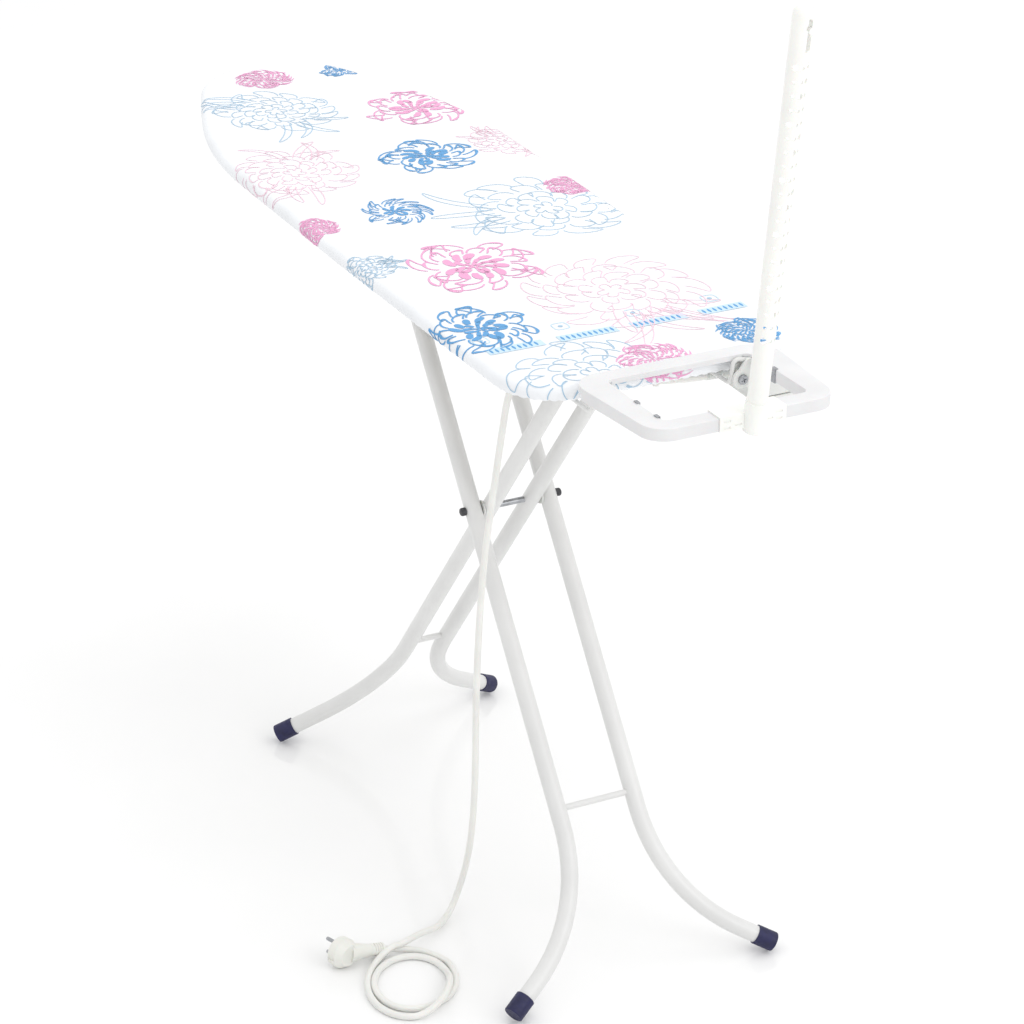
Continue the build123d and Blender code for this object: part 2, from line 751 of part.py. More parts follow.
def write_board():
    save("frame_tube", frame_tube())
    save("frame_joiner", frame_joiner())
    save("mesh_panel", mesh_panel())
    save("pad", pad())
    save("cover", cover())


def write_steelwork():
    save("hinge_crossbar", crossbar(HINGE_X) + hinge_ear(1) + hinge_ear(-1))
    save("rack_crossbar", crossbar(75))
    save("nose_crossbar", crossbar(-345))
    save("end_crossbar", crossbar(556))
    save("hinge_rod", headed_rod(HINGE_X, ROD_Z, 48, 7, 4))
    save("rack_left", rack(1))
    save("rack_right", rack(-1))
    save("latch_plate_left", latch_plate(1))
    save("latch_plate_right", latch_plate(-1))
    save("latch_pins", group(latch_pin(side) for side in (-1, 1)))
    save("latch_springs", group(latch_spring(side) for side in (-1, 1)))
    save("release_handle", rod_y(3, -LATCH_Y - SHEET - 3, 160, HANDLE_X, HANDLE_Z))
    save("release_grip", lever_grip())


def write_legs():
    for side, name in ((1, "left"), (-1, "right")):
        outer = leg_tube(side, OUTER_FLARE, -LEG_ANGLE, side * OUTER_Y, RUNNING_GAP, FIXED_GAP)
        inner = leg_tube(side, INNER_FLARE, LEG_ANGLE, side * INNER_Y, FIXED_GAP, RUNNING_GAP)
        save(f"outer_leg_{name}", outer)
        save(f"inner_leg_{name}", inner)
        save(f"outer_foot_{name}", foot_cap(side, OUTER_FLARE, -LEG_ANGLE, side * OUTER_Y))
        save(f"inner_foot_{name}", foot_cap(side, INNER_FLARE, LEG_ANGLE, side * INNER_Y))
    save("slider_rod", headed_rod(SLIDER_X, ROD_Z, 81, 6.5, 3))
    save("outer_cross_rod", cross_rod(-LEG_ANGLE, OUTER_Y))
    save("inner_cross_rod", cross_rod(LEG_ANGLE, INNER_Y))
    save("pivot_rod", rod_y(ROD_R, -68.5, 68.5, PIVOT_X, PIVOT_Z))
    save("pivot_caps", group(pivot_cap(side) for side in (-1, 1)))
    save("pivot_washers", group(pivot_washer(side) for side in (-1, 1)))


def write_rest():
    save("rest_ring", rest_ring())
    save("rest_stay", rest_stay())
    save("rest_clips", group(rest_clip(x, side) for x, side in CLIP_PLACES))
    save("mast_clamp", mast_clamp())
    save("flex_mast", flex_mast())


def write_socket():
    save("socket_housing", housing_shell())
    save("socket_lid", housing_lid())
    save("outlet_insert", outlet_insert())
    save("earth_clips", group(earth_clip(side) for side in (-1, 1)))
    save("outlet_contacts", group(contact_tube(side) for side in (-1, 1)))
    save("lid_screws", group(lid_screw(dx, dy) for dx in (-27, 31) for dy in (-24, 24)))
    save("housing_clamp", housing_clamp())
    save("ear_screw", ear_screw())
    save("cord_gland", cord_gland())
    save("cord_clips", group([cord_clip(559, 5, -20.22), cord_clip(549, -38, -7.13)]))


def write_lead():
    save("cord_lead", lead_tube("lead", lead_points()))
    save("cord_tail", lead_tube("tail", tail_points()))
    save("cord_coil", lead_coil())
    save("plug_body", plug_body())
    save("plug_sleeve", plug_sleeve())
    save("plug_pins", group(plug_pin(side) for side in (-1, 1)))


write_board()
write_steelwork()
write_legs()
write_rest()
write_socket()
write_lead()
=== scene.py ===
import json
import math
import random

import bmesh
import bpy
import numpy as np
from mathutils import Matrix, Vector, noise


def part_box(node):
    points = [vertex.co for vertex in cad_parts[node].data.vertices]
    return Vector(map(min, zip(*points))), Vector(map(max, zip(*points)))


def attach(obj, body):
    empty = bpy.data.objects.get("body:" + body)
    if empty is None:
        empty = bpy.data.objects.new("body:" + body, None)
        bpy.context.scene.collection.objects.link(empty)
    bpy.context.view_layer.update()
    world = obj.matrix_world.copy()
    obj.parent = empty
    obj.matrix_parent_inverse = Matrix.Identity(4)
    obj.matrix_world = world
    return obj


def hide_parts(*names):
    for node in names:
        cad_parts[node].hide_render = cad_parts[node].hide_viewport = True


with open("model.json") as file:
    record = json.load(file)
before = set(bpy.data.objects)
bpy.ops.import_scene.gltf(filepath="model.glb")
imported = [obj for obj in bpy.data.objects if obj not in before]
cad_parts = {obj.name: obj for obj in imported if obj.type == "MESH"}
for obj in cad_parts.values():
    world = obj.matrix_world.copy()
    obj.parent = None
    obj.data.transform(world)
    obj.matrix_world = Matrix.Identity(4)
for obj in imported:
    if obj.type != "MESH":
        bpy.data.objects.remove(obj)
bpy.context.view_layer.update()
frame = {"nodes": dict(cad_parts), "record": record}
MM = 0.001

# Camera and its frame. The picture is square.
CAMERA_AT = Vector((3533.4, -1774.1, 2364.7)) * MM
CAMERA_YAW = 2.6657
CAMERA_PITCH = -0.4509
CAMERA_ROLL = 0.0116
LENS_MM = 119.19

# The board's middle, from the cover's box
COVER_LOW, COVER_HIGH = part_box("cover")
BOARD_X = (COVER_LOW.x + COVER_HIGH.x) / 2
COVER_TOP = COVER_HIGH.z
RIM_R = (COVER_HIGH.z - COVER_LOW.z) / 2


# Materials ----------------------------------------------------------------------------------


class Shader:
    """A principled material, with its base colour, roughness and bump varied by nodes."""

    def __init__(self, name, colour, roughness, **sockets):
        self.material = bpy.data.materials.new(name)
        self.material.use_nodes = True
        self.tree = self.material.node_tree
        self.bsdf = self.tree.nodes["Principled BSDF"]
        self.colour = tuple(colour)
        self.roughness = roughness
        self.bsdf.inputs["Base Color"].default_value = (*colour, 1)
        self.bsdf.inputs["Roughness"].default_value = roughness
        for socket, value in sockets.items():
            self.bsdf.inputs[socket.replace("_", " ")].default_value = value
        self.place = self.node("ShaderNodeTexCoord").outputs["Object"]
        self.normal = None

    def node(self, kind, **values):
        made = self.tree.nodes.new(kind)
        for key, value in values.items():
            if key in made.inputs:
                made.inputs[key].default_value = value
            else:
                setattr(made, key, value)
        return made

    def link(self, out, into):
        self.tree.links.new(out, into)

    def noise(self, size, detail=3.0, rough=0.5, stretch=(1, 1, 1)):
        scaled = self.node("ShaderNodeMapping")
        scaled.inputs["Scale"].default_value = stretch
        made = self.node("ShaderNodeTexNoise", Scale=1 / size, Detail=detail, Roughness=rough)
        self.link(self.place, scaled.inputs["Vector"])
        self.link(scaled.outputs["Vector"], made.inputs["Vector"])
        return made.outputs["Fac"]

    def waves(self, pitch, direction, distortion=0.6):
        made = self.node("ShaderNodeTexWave", wave_type="BANDS", bands_direction=direction, Detail=1.0)
        made.inputs["Scale"].default_value = math.tau / (20 * pitch)
        made.inputs["Distortion"].default_value = distortion
        self.link(self.place, made.inputs["Vector"])
        return made.outputs["Fac"]

    def combine(self, operation, first, second):
        made = self.node("ShaderNodeMath", operation=operation)
        self.link(first, made.inputs[0])
        self.link(second, made.inputs[1])
        return made.outputs[0]

    def tint(self, factor, low, high):
        """Multiplies the base colour by grey values from low to high as factor goes from 0.3 to 0.7."""
        ramp = self.node("ShaderNodeMapRange")
        for socket, value in (("From Min", 0.3), ("From Max", 0.7), ("To Min", low), ("To Max", high)):
            ramp.inputs[socket].default_value = value
        self.link(factor, ramp.inputs["Value"])
        mix = self.node("ShaderNodeMix", data_type="RGBA", blend_type="MULTIPLY")
        mix.inputs["Factor"].default_value = 1
        mix.inputs["A"].default_value = (*self.colour, 1)
        base = self.bsdf.inputs["Base Color"]
        if base.is_linked:
            self.link(base.links[0].from_socket, mix.inputs["A"])
        self.link(ramp.outputs["Result"], mix.inputs["B"])
        self.link(mix.outputs["Result"], base)
        return self

    def gloss(self, factor, spread):
        ramp = self.node("ShaderNodeMapRange")
        limits = (0.3, 0.7, self.roughness - spread, self.roughness + spread)
        for socket, value in zip(("From Min", "From Max", "To Min", "To Max"), limits):
            ramp.inputs[socket].default_value = value
        self.link(factor, ramp.inputs["Value"])
        self.link(ramp.outputs["Result"], self.bsdf.inputs["Roughness"])
        return self

    def bump(self, height, depth, strength=1.0):
        made = self.node("ShaderNodeBump", Strength=strength, Distance=depth)
        self.link(height, made.inputs["Height"])
        if self.normal is not None:
            self.link(self.normal, made.inputs["Normal"])
        self.normal = made.outputs["Normal"]
        self.link(self.normal, self.bsdf.inputs["Normal"])
        return self


def srgb(red, green, blue):
    def linear(value):
        value /= 255
        return value / 12.92 if value <= 0.04045 else ((value + 0.055) / 1.055) ** 2.4

    return linear(red), linear(green), linear(blue)


def powder_coat(name, colour):
    made = Shader(name, colour, 0.36, Coat_Weight=0.25, Coat_Roughness=0.18)
    grain = made.noise(1.3 * MM, detail=2)
    made.tint(made.noise(90 * MM), 0.95, 1.03).gloss(made.noise(25 * MM), 0.06)
    return made.bump(grain, 0.05 * MM).material


def moulded(name, colour, roughness=0.42, grain_size=0.9 * MM):
    made = Shader(name, colour, roughness, Subsurface_Weight=0.04, Subsurface_Scale=0.004)
    made.tint(made.noise(60 * MM), 0.96, 1.03).gloss(made.noise(18 * MM), 0.05)
    return made.bump(made.noise(grain_size, detail=4), 0.03 * MM).material


def rubber(name, colour):
    made = Shader(name, colour, 0.52)
    made.tint(made.noise(12 * MM, detail=5), 0.75, 1.35).gloss(made.noise(5 * MM), 0.1)
    return made.bump(made.noise(0.7 * MM, detail=4), 0.06 * MM).material


def zinc(name):
    made = Shader(name, srgb(172, 174, 178), 0.32, Metallic=1.0)
    streak = made.noise(2 * MM, detail=5, stretch=(1, 0.12, 1))
    made.tint(made.noise(9 * MM), 0.8, 1.1).gloss(streak, 0.1)
    return made.bump(streak, 0.02 * MM).material


def brass(name):
    made = Shader(name, srgb(196, 160, 84), 0.28, Metallic=1.0)
    made.tint(made.noise(4 * MM), 0.8, 1.1).gloss(made.noise(2 * MM), 0.08)
    return made.bump(made.noise(0.5 * MM), 0.02 * MM).material


def woven(name, colour, roughness=0.82, thread=0.62 * MM, sheen=0.12):
    """Plain-weave cotton. Its threads run along the board and across it."""
    made = Shader(name, colour, roughness, Sheen_Weight=sheen, Sheen_Roughness=0.5)
    weave = made.combine("MULTIPLY", made.waves(thread, "X"), made.waves(thread, "Y"))
    made.tint(made.noise(70 * MM, detail=4), 0.965, 1.02).tint(weave, 0.985, 1.01)
    made.gloss(made.noise(30 * MM), 0.05)
    made.bump(weave, 0.05 * MM, 0.5)
    return made.bump(made.noise(24 * MM, detail=4), 0.35 * MM, 0.5).material


def felt(name):
    made = Shader(name, srgb(214, 210, 200), 0.95, Sheen_Weight=0.3, Sheen_Roughness=0.6)
    fibres = made.noise(1.6 * MM, detail=6, rough=0.7)
    made.tint(made.noise(30 * MM), 0.86, 1.08).tint(fibres, 0.9, 1.06).gloss(fibres, 0.03)
    return made.bump(fibres, 0.4 * MM).material


def flexible(name, colour):
    made = Shader(name, colour, 0.4, Subsurface_Weight=0.06, Subsurface_Scale=0.003)
    made.tint(made.noise(35 * MM), 0.95, 1.03).gloss(made.noise(12 * MM), 0.06)
    return made.bump(made.noise(1.1 * MM, detail=4), 0.03 * MM).material


MATERIALS = {
    "frame_steel": powder_coat("frame powder coat", srgb(224, 224, 222)),
    "leg_steel": powder_coat("leg powder coat", srgb(226, 226, 225)),
    "mesh_steel": powder_coat("mesh paint", srgb(206, 208, 206)),
    "zinc_steel": zinc("zinc plate"),
    "pad_felt": felt("felt"),
    "cover_cotton": woven("white cotton", srgb(243, 245, 248)),
    "navy_rubber": rubber("navy rubber", srgb(26, 27, 70)),
    "dark_plastic": moulded("dark grey plastic", srgb(62, 62, 66), 0.5),
    "white_plastic": moulded("white plastic", srgb(226, 227, 224), 0.38),
    "grey_plastic": moulded("light grey plastic", srgb(226, 226, 227), 0.44),
    "mast_plastic": moulded("warm white plastic", srgb(246, 246, 242), 0.36),
    "cord_pvc": flexible("cord sheath", srgb(236, 236, 232)),
    "plug_plastic": flexible("plug moulding", srgb(232, 232, 226)),
    "brass": brass("brass"),
}
INKS = {
    "blue": woven("blue ink", srgb(92, 160, 214)),
    "pink": woven("pink ink", srgb(238, 168, 208)),
    "pale_blue": woven("pale blue ink", srgb(172, 202, 224)),
    "pale_pink": woven("pale pink ink", srgb(243, 208, 222)),
    "wash": woven("pale blue wash", srgb(203, 228, 244)),
}


def dress_frame():
    slots = {part["node"]: part["material_slot"] for part in frame["record"]["subparts"]}
    for name, node in frame["nodes"].items():
        node.data.materials.clear()
        node.data.materials.append(MATERIALS[slots[name]])


# Mesh helpers -------------------------------------------------------------------------------


def mesh_object(name, vertices, faces, slot, body="board", material=None, smooth=True):
    data = bpy.data.meshes.new(name)
    data.from_pydata([tuple(map(float, v)) for v in vertices], [], [tuple(map(int, f)) for f in faces])
    data.validate()
    data.update()
    made = bpy.data.objects.new(name, data)
    bpy.context.scene.collection.objects.link(made)
    data.materials.append(material or MATERIALS[slot])
    if smooth:
        data.polygons.foreach_set("use_smooth", [True] * len(data.polygons))
    if body:
        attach(made, body)
    return made


def grid_faces(rows, columns, closed=False):
    """Quads of a grid stored row by row; closed joins the last column to the first."""
    faces = []
    for row in range(rows - 1):
        for column in range(columns if closed else columns - 1):
            right = (column + 1) % columns
            corners = ((row, column), (row, right), (row + 1, right), (row + 1, column))
            faces.append([r * columns + c for r, c in corners])
    return faces


def add_thickness(made, thickness, offset=-1.0):
    solid = made.modifiers.new("thickness", "SOLIDIFY")
    solid.thickness = thickness
    solid.offset = offset


# Board outline, from the cover's own solid --------------------------------------------------


def hull(points):
    points = sorted(set(points))

    def chain(ordered):
        out = []
        for p in ordered:
            while len(out) > 1 and cross(out[-2], out[-1], p) <= 0:
                out.pop()
            out.append(p)
        return out[:-1]

    def cross(o, a, b):
        return (a[0] - o[0]) * (b[1] - o[1]) - (a[1] - o[1]) * (b[0] - o[0])

    return chain(points) + chain(reversed(points))


def even_outline(count):
    """The board's outline as evenly spaced points, anticlockwise, and their outward normals."""
    corners = {(round(v.co.x, 5), round(v.co.y, 5)) for v in frame["nodes"]["cover"].data.vertices}
    ring = np.array(hull(list(corners)))
    ring = np.vstack([ring, ring[:1]])
    along = np.concatenate([[0], np.cumsum(np.linalg.norm(np.diff(ring, axis=0), axis=1))])
    places = np.linspace(0, along[-1], count, endpoint=False)
    points = np.stack([np.interp(places, along, ring[:, axis]) for axis in (0, 1)], axis=1)
    for _ in range(6):
        points = (np.roll(points, 1, 0) + 2 * points + np.roll(points, -1, 0)) / 4
    tangents = np.roll(points, -1, 0) - np.roll(points, 1, 0)
    tangents /= np.linalg.norm(tangents, axis=1)[:, None]
    return points, np.stack([tangents[:, 1], -tangents[:, 0]], axis=1), along[-1]


OUTLINE_COUNT = 760
OUTLINE, OUTWARD, GIRTH = even_outline(OUTLINE_COUNT)


def nearest_edge(points):
    """How far inside the outline each point is, the foot of that distance, and the normal there."""
    starts, ends = OUTLINE, np.roll(OUTLINE, -1, 0)
    spans = ends - starts
    lengths = (spans**2).sum(1)
    depth, feet, normals, places = [], [], [], []
    for first in range(0, len(points), 4000):
        block = points[first : first + 4000]
        share = ((block[:, None] - starts) * spans).sum(2) / lengths
        share = np.clip(share, 0, 1)
        foot = starts + share[:, :, None] * spans
        gap = np.linalg.norm(block[:, None] - foot, axis=2)
        best = gap.argmin(1)
        rows = np.arange(len(block))
        mix = share[rows, best][:, None]
        normal = OUTWARD[best] * (1 - mix) + OUTWARD[(best + 1) % OUTLINE_COUNT] * mix
        normal /= np.linalg.norm(normal, axis=1)[:, None]
        inward = -((block - foot[rows, best]) * normal).sum(1)
        depth.append(np.copysign(gap[rows, best], inward))
        feet.append(foot[rows, best])
        normals.append(normal)
        places.append((best + share[rows, best]) * GIRTH / OUTLINE_COUNT)
    return np.concatenate(depth), np.vstack(feet), np.vstack(normals), np.concatenate(places)


CREASE_DEPTH = 0.45 * MM
GATHER_DEPTH = 1.3 * MM
GATHER_PITCH = 13 * MM


def crown(x, y):
    """Soft hollows and creases of cloth that is pulled over felt."""
    broad = noise.noise((x * 7, y * 7, 1.5))
    fine = noise.noise((x * 26, y * 26, 8.5))
    return CREASE_DEPTH * (0.8 * broad + 0.35 * fine - 0.6)


def gather(place, bend):
    """The pull of the drawstring, which puckers the cloth more towards the underside."""
    share = min(max((bend - 1.1) / 2.0, 0), 1)
    wobble = noise.noise((place * 31, 4.2, 0.7)) * 2.4
    return GATHER_DEPTH * share * share * math.sin(math.tau * place / GATHER_PITCH + wobble)


def on_cover(points, lift):
    """Lays flat points on the cover: they follow its top, then bend round the rim and in underneath."""
    points = np.asarray(points, float)
    depth, feet, normals, places = nearest_edge(points)
    laid = np.empty((len(points), 3))
    for i, (x, y) in enumerate(points):
        if depth[i] >= RIM_R:
            ease = min((depth[i] - RIM_R) / (15 * MM), 1)
            laid[i] = (x, y, COVER_TOP + lift + ease * crown(x, y))
            continue
        past = RIM_R - depth[i]
        bend = min(past / RIM_R, math.pi)
        radius = RIM_R + lift + gather(places[i], bend)
        reach = radius * math.sin(bend) - RIM_R - max(past - math.pi * RIM_R, 0)
        laid[i, :2] = feet[i] + normals[i] * reach
        laid[i, 2] = COVER_TOP - RIM_R + radius * math.cos(bend)
    return laid


# Cover, pad and mesh ------------------------------------------------------------------------

SPINE_FROM = BOARD_X - 500 * MM
SPINE_TO = BOARD_X + 505 * MM
SPINE_NODES = 260
RIM_STEPS = 16
LIP_REACH = 12 * MM
LIP_STEPS = 4
TOP_STEPS = 26


def spine_of(points):
    """The nearest of the spine's evenly spaced nodes, which both halves of the board share."""
    share = (np.clip(points[:, 0], SPINE_FROM, SPINE_TO) - SPINE_FROM) / (SPINE_TO - SPINE_FROM)
    along = SPINE_FROM + np.round(share * SPINE_NODES) / SPINE_NODES * (SPINE_TO - SPINE_FROM)
    return np.stack([along, np.zeros(len(points))], axis=1)


def ring_rows(inset, steps):
    """Flat points in rows from the board's spine out to a line at this inset."""
    edge = OUTLINE - OUTWARD * inset
    spine = spine_of(edge)
    return np.vstack([spine + (edge - spine) * (step / steps) for step in range(1, steps + 1)])


def cover_sheet():
    top = ring_rows(RIM_R, TOP_STEPS)
    beyond = [RIM_R * math.pi * step / RIM_STEPS for step in range(1, RIM_STEPS + 1)]
    beyond += [RIM_R * math.pi + LIP_REACH * step / LIP_STEPS for step in range(1, LIP_STEPS + 1)]
    rim = np.vstack([OUTLINE - OUTWARD * (RIM_R - past) for past in beyond])
    laid = np.vstack([on_cover(top, -0.4 * MM), lay_rim(beyond, -0.4 * MM)])
    rows = TOP_STEPS + len(beyond)
    faces = grid_faces(rows, OUTLINE_COUNT, closed=True)
    middle = on_cover(spine_of(OUTLINE), -0.4 * MM)
    laid = np.vstack([laid, middle])
    last = rows * OUTLINE_COUNT
    for i in range(OUTLINE_COUNT):
        right = (i + 1) % OUTLINE_COUNT
        faces.append([last + i, last + right, right, i])
    made = mesh_object("cover_cloth", laid, faces, "cover_cotton")
    weld(made, 0.05 * MM)
    add_thickness(made, 0.7 * MM)
    flat = flat_area(rim[-OUTLINE_COUNT:])
    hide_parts("cover")
    return made, flat


def lay_rim(beyond, lift):
    places = np.arange(OUTLINE_COUNT) * GIRTH / OUTLINE_COUNT
    rows = []
    for past in beyond:
        bend = min(past / RIM_R, math.pi)
        under = max(past - math.pi * RIM_R, 0)
        for foot, normal, place in zip(OUTLINE, OUTWARD, places):
            radius = RIM_R + lift + gather(place, bend)
            flat = foot + normal * (radius * math.sin(bend) - RIM_R - under)
            rows.append((*flat, COVER_TOP - RIM_R + radius * math.cos(bend)))
    return np.array(rows)


def flat_area(ring):
    x, y = ring[:, 0], ring[:, 1]
    return abs(np.dot(x, np.roll(y, -1)) - np.dot(y, np.roll(x, -1))) / 2


def weld(made, distance):
    work = bmesh.new()
    work.from_mesh(made.data)
    bmesh.ops.remove_doubles(work, verts=work.verts, dist=distance)
    bmesh.ops.recalc_face_normals(work, faces=work.faces)
    work.to_mesh(made.data)
    work.free()
    made.data.polygons.foreach_set("use_smooth", [True] * len(made.data.polygons))


def drawstring():
    """The hem's casing, a soft roll that closes the cloth round the cord underneath."""
    around = 10
    inset = RIM_R + LIP_REACH
    rows = []
    for i, (foot, normal) in enumerate(zip(OUTLINE, OUTWARD)):
        place = i * GIRTH / OUTLINE_COUNT
        radius = 2.1 * MM + 0.35 * MM * math.sin(math.tau * place / GATHER_PITCH * 1.7)
        centre = foot - normal * inset
        height = COVER_LOW.z + 0.9 * MM + gather(place, math.pi) * 0.4
        for turn in range(around):
            angle = math.tau * turn / around
            flat = centre + normal * radius * math.cos(angle)
            rows.append((*flat, height + radius * math.sin(angle)))
    faces = [
        [i * around + t, i * around + (t + 1) % around, j * around + (t + 1) % around, j * around + t]
        for i in range(OUTLINE_COUNT)
        for j in [(i + 1) % OUTLINE_COUNT]
        for t in range(around)
    ]
    return mesh_object("cover_hem", rows, faces, "cover_cotton")


def pad_sheet():
    """Needled felt, closed all round, its faces slightly uneven and thinning towards its edge."""
    low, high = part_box("pad")
    steps = 30
    flat = ring_rows(9 * MM, steps)
    depth = nearest_edge(flat)[0]
    under, over = [], []
    for (x, y), inside in zip(flat, depth):
        rise = 0.25 * MM * noise.noise((x * 60, y * 60, 3.3))
        edge = max(1 - (inside - 9 * MM) / (12 * MM), 0)
        under.append((x, y, low.z + 0.35 * MM + rise + edge**2 * 5.1 * MM))
        over.append((x, y, high.z - 0.6 * MM - edge**3 * 1.6 * MM + rise))
    count = len(flat)
    faces = [list(reversed(face)) for face in grid_faces(steps, OUTLINE_COUNT, closed=True)]
    faces += [[c + count for c in face] for face in grid_faces(steps, OUTLINE_COUNT, closed=True)]
    edge_start = (steps - 1) * OUTLINE_COUNT
    for i in range(OUTLINE_COUNT):
        j = (i + 1) % OUTLINE_COUNT
        faces.append([edge_start + i, edge_start + j, edge_start + j + count, edge_start + i + count])
    made = mesh_object("pad_felt", under + over, faces, "pad_felt")
    fill = bmesh.new()
    fill.from_mesh(made.data)
    bmesh.ops.holes_fill(fill, edges=[e for e in fill.edges if e.is_boundary])
    bmesh.ops.triangulate(fill, faces=[f for f in fill.faces if len(f.verts) > 4])
    bmesh.ops.recalc_face_normals(fill, faces=fill.faces)
    fill.to_mesh(made.data)
    fill.free()
    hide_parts("pad")
    return made


# The faces of one straight length of strand, whose corners go round its lower side and then its upper one
STRAND_SIDES = ((3, 2, 1, 0), (4, 5, 6, 7), (0, 1, 5, 4), (2, 3, 7, 6))


def expanded_mesh():
    """Expanded steel: zigzag strands that meet at their knuckles."""
    pitch, opening, strand = 26 * MM, 10 * MM, 1.5 * MM
    low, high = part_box("mesh_panel")
    rows = int((high.y - low.y) / opening) + 2
    steps = int((high.x - low.x) / (pitch / 2)) + 2
    vertices, faces = [], []
    middle = (low.z + high.z) / 2
    for row in range(-rows // 2, rows // 2 + 1):
        points = []
        for step in range(steps * 4 + 1):
            phase = (step / 8) % 1
            swing = 1 - 4 * abs(phase - 0.5)
            swing = max(-0.8, min(0.8, swing * 1.15)) / 0.8
            side = 1 if row % 2 else -1
            points.append((low.x + step * pitch / 8, row * opening + side * swing * opening / 2))
        depth = nearest_edge(np.array(points))[0]
        for (xa, ya), (xb, yb), da, db in zip(points, points[1:], depth, depth[1:]):
            if min(da, db) < 14.5 * MM:
                continue
            first = len(vertices)
            for z in (middle - 0.65 * MM, middle + 0.65 * MM):
                for x, y, side in ((xa, ya, -1), (xb, yb, -1), (xb, yb, 1), (xa, ya, 1)):
                    vertices.append((x, y + side * strand / 2, z))
            faces += [[first + c for c in corners] for corners in STRAND_SIDES]
    made = mesh_object("expanded_mesh", vertices, faces, "mesh_steel", smooth=False)
    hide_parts("mesh_panel")
    return made


# Print --------------------------------------------------------------------------------------


class Ink:
    """Flat ribbons of one ink, laid on the cover in one piece at the end."""

    def __init__(self):
        self.points = []
        self.quads = []

    def ribbon(self, line, widths):
        """A stroke along a line of flat points in metres, with its width at each point."""
        line = np.asarray(line, float)
        along = np.gradient(line, axis=0)
        along /= np.linalg.norm(along, axis=1)[:, None] + 1e-12
        across = np.stack([-along[:, 1], along[:, 0]], axis=1)
        widths = np.asarray(widths, float)
        lanes = max(1, math.ceil(widths.max() / (2.6 * MM)))
        first = len(self.points)
        for point, side, width in zip(line, across, widths):
            for lane in range(lanes + 1):
                self.points.append(point + side * width * (lane / lanes - 0.5))
        for i in range(len(line) - 1):
            for lane in range(lanes):
                a = first + i * (lanes + 1) + lane
                b = a + lanes + 1
                self.quads.append((a, a + 1, b + 1, b))


# The share of a petal's length, from its root, that its outline leaves open.
PETAL_OPEN = 0.3


def petal_bulge(half, t):
    return half * max(1 - t**4, 0) ** 0.5 * (0.45 + 0.55 * t**0.8)


def petal_loop(centre, heading, start, end, half, curl, count=26):
    """The outline of one petal: out along its left edge, round the tip and back along its right edge."""
    line = []
    for u in np.linspace(0, 1, count):
        t = PETAL_OPEN + (1 - PETAL_OPEN) * max(math.sin(math.pi * u), 0) ** 0.75
        side = 1 if u < 0.5 else -1
        bulge = petal_bulge(half, t)
        angle = heading + curl * t * t
        reach = start + (end - start) * t
        line.append(
            (
                centre[0] + reach * math.cos(angle) - side * bulge * math.sin(angle),
                centre[1] + reach * math.sin(angle) + side * bulge * math.cos(angle),
            )
        )
    return np.array(line)


def solid_petal(ink, centre, heading, start, end, half, curl):
    """A petal filled with ink, drawn as one wide stroke along its middle."""
    steps = np.linspace(0.02, 0.99, 12)
    angles = heading + curl * steps**2
    reach = start + (end - start) * steps
    line = [(centre[0] + r * math.cos(a), centre[1] + r * math.sin(a)) for r, a in zip(reach, angles)]
    ink.ribbon(line, [2 * 0.88 * petal_bulge(half, t) for t in steps])


# Rings of each kind of bloom, from its middle outwards: number of petals, where they start and end
# as shares of the bloom's radius, their half width as a share of their spacing, line width in
# millimetres, where 0 is a solid petal, and the greatest curl of a tip in radians.
BLOOMS = {
    "bold": [
        (6, 0.02, 0.20, 0.90, 0, 0.5),
        (9, 0.15, 0.36, 0.90, 0, 0.5),
        (11, 0.30, 0.56, 0.90, 0, 0.45),
        (12, 0.48, 0.82, 1.00, 3.3, 0.4),
        (13, 0.64, 1.08, 0.90, 3.1, 0.55),
    ],
    "medium": [
        (5, 0.02, 0.20, 0.90, 0, 0.5),
        (8, 0.15, 0.42, 0.85, 0, 0.5),
        (12, 0.36, 0.72, 0.80, 2.2, 0.5),
        (16, 0.55, 1.05, 0.60, 2.1, 0.7),
    ],
    "outline": [
        (5, 0.02, 0.20, 1.10, 1.3, 0.4),
        (8, 0.16, 0.40, 1.15, 1.3, 0.35),
        (11, 0.34, 0.62, 1.15, 1.3, 0.3),
        (13, 0.54, 0.84, 1.10, 1.3, 0.3),
        (15, 0.72, 1.08, 1.05, 1.3, 0.35),
    ],
}


def bloom(ink, x, y, radius, draw, kind):
    """One chrysanthemum, ring by ring. The tips of a ring lie between the petals of the next one."""
    centre = (BOARD_X + x, y)
    turn = draw.uniform(0, math.tau)
    lean = draw.choice((-1, 1))
    for ring, (count, start, end, plump, line, most_curl) in enumerate(BLOOMS[kind]):
        for petal in range(count):
            spacing = math.tau / count
            heading = turn + spacing * (petal + 0.5 * (ring % 2) + draw.uniform(-0.13, 0.13))
            tip = radius * end * draw.uniform(0.9, 1.08)
            half = spacing * radius * (start + end) / 4 * plump * draw.uniform(0.85, 1.15)
            curl = most_curl * (lean if draw.random() < 0.7 else -lean) * draw.uniform(0.3, 1.0)
            if not line:
                solid_petal(ink, centre, heading, radius * start, tip, half, curl)
                continue
            loop = petal_loop(centre, heading, radius * start, tip, half, curl)
            width = line * MM
            if kind == "outline":
                ink.ribbon(loop, np.full(len(loop), width))
                continue
            u = np.linspace(0, 1, len(loop))
            blob = np.exp(-(((u - draw.choice((0.42, 0.58))) / 0.10) ** 2))
            ink.ribbon(loop, width * (0.72 + 0.75 * blob))


